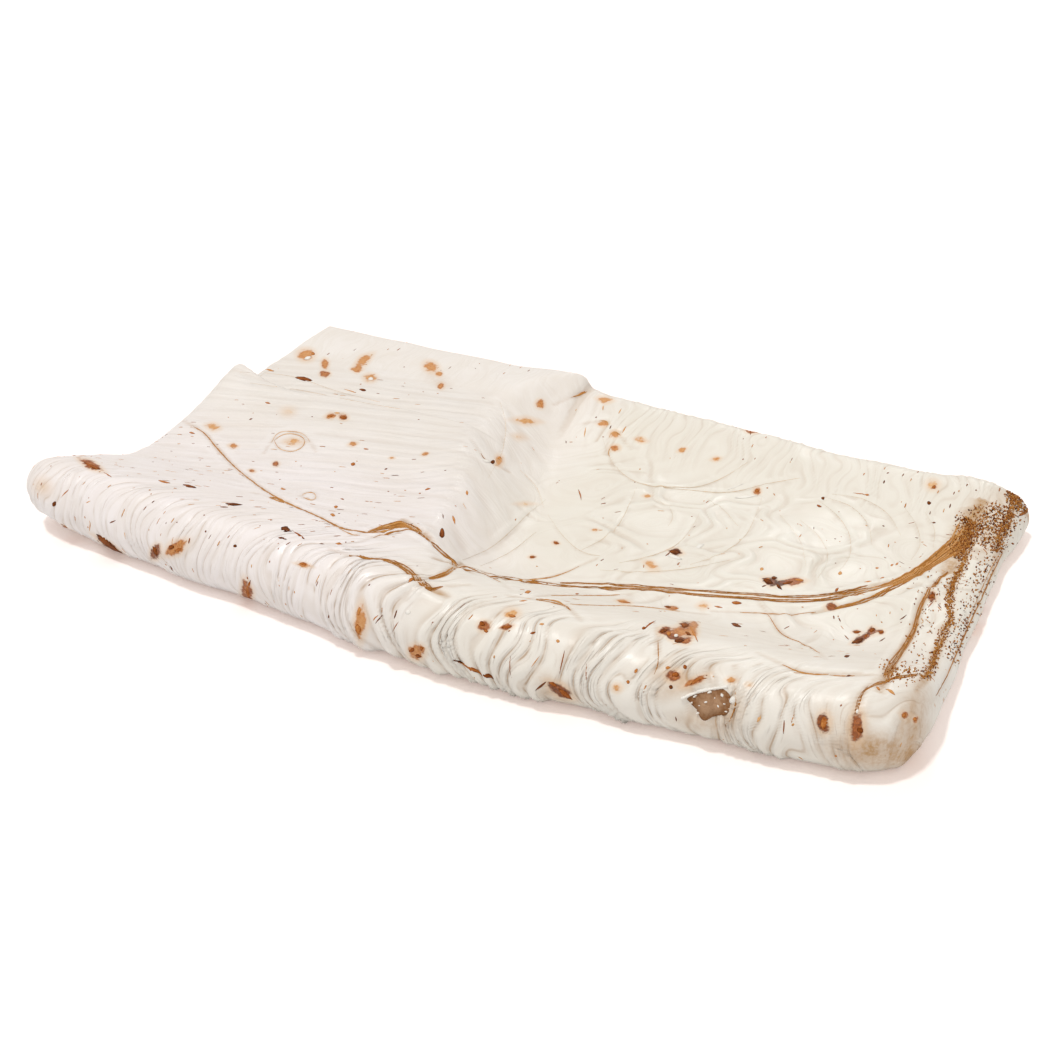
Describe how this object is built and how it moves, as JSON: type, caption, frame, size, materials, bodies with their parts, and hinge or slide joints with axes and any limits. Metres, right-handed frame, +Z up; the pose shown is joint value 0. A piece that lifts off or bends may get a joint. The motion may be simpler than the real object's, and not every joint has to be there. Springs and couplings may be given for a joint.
{
  "type": "folded lavash flatbread",
  "caption": "Large soft lavash flatbread folded into a long low slab, with a rolled front edge, a raised flap, a shallow basin and browned toast spots and creases.",
  "frame": {"origin": "on the resting surface, under the middle of the bounding box", "axes": "+X along the slab towards the low speckled end, +Y from the rolled front edge to the back edge, +Z up"},
  "size_m": [0.4335, 0.2576, 0.0403],
  "materials": {
    "bread": "soft satin baked dough with browned spots"
  },
  "bodies": {
    "root": {"lavash": "bread"}
  },
  "joints": []
}
